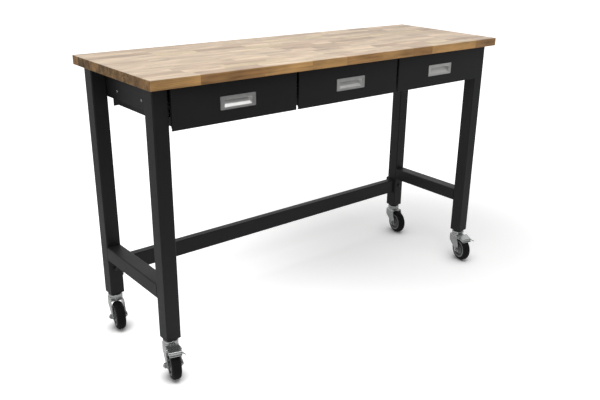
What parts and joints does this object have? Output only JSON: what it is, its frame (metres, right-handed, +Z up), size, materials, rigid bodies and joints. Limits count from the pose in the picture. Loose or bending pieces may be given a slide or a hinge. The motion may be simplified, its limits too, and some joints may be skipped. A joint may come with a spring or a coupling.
{
  "type": "mobile workbench",
  "caption": "Mobile workbench with a glued-stave wooden worktop on a square-tube steel frame, a row of drawers under the top and swivel casters, the front ones braked.",
  "frame": {"origin": "on the floor, under the middle of the bench with its casters as they trail at rest", "axes": "+X along the worktop to the right as seen from the drawers, +Y to the rear, +Z up"},
  "size_m": [1.5202, 0.5401, 0.96],
  "materials": {
    "worktop_wood": "oiled glued staves, satin",
    "black_paint": "satin black powder coat",
    "zinc_plate": "bright zinc plate on stamped steel",
    "satin_nickel": "satin nickel plate",
    "black_oxide": "black oxide steel",
    "grey_hub": "moulded dark grey plastic",
    "black_rubber": "solid black rubber",
    "black_plastic": "moulded black plastic"
  },
  "bodies": {
    "frame": {"worktop": "worktop_wood", "worktop_screws": "zinc_plate", "front_left_leg": "black_paint", "front_right_leg": "black_paint", "rear_left_leg": "black_paint", "rear_right_leg": "black_paint", "left_crossbar": "black_paint", "left_end_apron": "black_paint", "left_divider": "black_paint", "right_crossbar": "black_paint", "right_end_apron": "black_paint", "right_divider": "black_paint", "stretcher": "black_paint", "stretcher_bolts": "black_oxide", "rear_apron": "black_paint", "slide_screws": "zinc_plate", "divider_rivets": "zinc_plate", "outer_slides": "zinc_plate", "leg_plugs": "black_plastic", "caster_stems": "zinc_plate"},
    "left_drawer": {"left_drawer_front": "black_paint", "left_drawer_box": "black_paint", "left_drawer_pull": "satin_nickel", "left_drawer_fasteners": "zinc_plate", "left_drawer_inner_slides": "zinc_plate"},
    "left_drawer_slide_carriers": {"left_drawer_middle_slides": "zinc_plate"},
    "middle_drawer": {"middle_drawer_front": "black_paint", "middle_drawer_box": "black_paint", "middle_drawer_pull": "satin_nickel", "middle_drawer_fasteners": "zinc_plate", "middle_drawer_inner_slides": "zinc_plate"},
    "middle_drawer_slide_carriers": {"middle_drawer_middle_slides": "zinc_plate"},
    "right_drawer": {"right_drawer_front": "black_paint", "right_drawer_box": "black_paint", "right_drawer_pull": "satin_nickel", "right_drawer_fasteners": "zinc_plate", "right_drawer_inner_slides": "zinc_plate"},
    "right_drawer_slide_carriers": {"right_drawer_middle_slides": "zinc_plate"},
    "front_left_caster": {"front_left_caster_fork": "zinc_plate", "front_left_caster_axle": "zinc_plate", "front_left_pedal_rivets": "zinc_plate"},
    "front_left_wheel": {"front_left_wheel_hub": "grey_hub", "front_left_tyre": "black_rubber"},
    "front_left_pedal": {"front_left_brake_pedal": "zinc_plate", "front_left_brake_shoe": "black_plastic"},
    "front_right_caster": {"front_right_caster_fork": "zinc_plate", "front_right_caster_axle": "zinc_plate", "front_right_pedal_rivets": "zinc_plate"},
    "front_right_wheel": {"front_right_wheel_hub": "grey_hub", "front_right_tyre": "black_rubber"},
    "front_right_pedal": {"front_right_brake_pedal": "zinc_plate", "front_right_brake_shoe": "black_plastic"},
    "rear_left_caster": {"rear_left_caster_fork": "zinc_plate", "rear_left_caster_axle": "zinc_plate"},
    "rear_left_wheel": {"rear_left_wheel_hub": "grey_hub", "rear_left_tyre": "black_rubber"},
    "rear_right_caster": {"rear_right_caster_fork": "zinc_plate", "rear_right_caster_axle": "zinc_plate"},
    "rear_right_wheel": {"rear_right_wheel_hub": "grey_hub", "rear_right_tyre": "black_rubber"}
  },
  "joints": [
    {"name": "left_drawer_travel", "type": "slide", "parent": "frame", "child": "left_drawer", "axis": [0, -1, 0], "range_m": [0, 0.35]},
    {"name": "left_drawer_carrier_travel", "type": "slide", "parent": "frame", "child": "left_drawer_slide_carriers", "axis": [0, -1, 0], "range_m": [0, 0.175]},
    {"name": "middle_drawer_travel", "type": "slide", "parent": "frame", "child": "middle_drawer", "axis": [0, -1, 0], "range_m": [0, 0.35]},
    {"name": "middle_drawer_carrier_travel", "type": "slide", "parent": "frame", "child": "middle_drawer_slide_carriers", "axis": [0, -1, 0], "range_m": [0, 0.175]},
    {"name": "right_drawer_travel", "type": "slide", "parent": "frame", "child": "right_drawer", "axis": [0, -1, 0], "range_m": [0, 0.35]},
    {"name": "right_drawer_carrier_travel", "type": "slide", "parent": "frame", "child": "right_drawer_slide_carriers", "axis": [0, -1, 0], "range_m": [0, 0.175]},
    {"name": "front_left_swivel", "type": "hinge", "parent": "frame", "child": "front_left_caster", "pos_m": [-0.715, -0.18, 0.115], "axis": [0, 0, 1], "continuous": true},
    {"name": "front_left_wheel_spin", "type": "hinge", "parent": "front_left_caster", "child": "front_left_wheel", "pos_m": [-0.72523, -0.21347, 0.05], "axis": [0.9563, -0.2924, 0], "continuous": true},
    {"name": "front_left_pedal_press", "type": "hinge", "parent": "front_left_caster", "child": "front_left_pedal", "pos_m": [-0.72699, -0.21921, 0.105], "axis": [0.9563, -0.2924, 0], "range_deg": [0, 16]},
    {"name": "front_right_swivel", "type": "hinge", "parent": "frame", "child": "front_right_caster", "pos_m": [0.715, -0.18, 0.115], "axis": [0, 0, 1], "continuous": true},
    {"name": "front_right_wheel_spin", "type": "hinge", "parent": "front_right_caster", "child": "front_right_wheel", "pos_m": [0.70535, -0.21364, 0.05], "axis": [0.9613, -0.2756, 0], "continuous": true},
    {"name": "front_right_pedal_press", "type": "hinge", "parent": "front_right_caster", "child": "front_right_pedal", "pos_m": [0.7037, -0.21941, 0.105], "axis": [0.9613, -0.2756, 0], "range_deg": [-11, 5]},
    {"name": "rear_left_swivel", "type": "hinge", "parent": "frame", "child": "rear_left_caster", "pos_m": [-0.715, 0.212, 0.115], "axis": [0, 0, 1], "continuous": true},
    {"name": "rear_left_wheel_spin", "type": "hinge", "parent": "rear_left_caster", "child": "rear_left_wheel", "pos_m": [-0.72287, 0.1779, 0.05], "axis": [0.9744, -0.225, 0], "continuous": true},
    {"name": "rear_right_swivel", "type": "hinge", "parent": "frame", "child": "rear_right_caster", "pos_m": [0.715, 0.212, 0.115], "axis": [0, 0, 1], "continuous": true},
    {"name": "rear_right_wheel_spin", "type": "hinge", "parent": "rear_right_caster", "child": "rear_right_wheel", "pos_m": [0.70802, 0.1777, 0.05], "axis": [0.9799, -0.1994, 0], "continuous": true}
  ],
  "couplings": [
    {"joint": "left_drawer_carrier_travel", "follows": "left_drawer_travel", "ratio": 0.5},
    {"joint": "middle_drawer_carrier_travel", "follows": "middle_drawer_travel", "ratio": 0.5},
    {"joint": "right_drawer_carrier_travel", "follows": "right_drawer_travel", "ratio": 0.5}
  ]
}
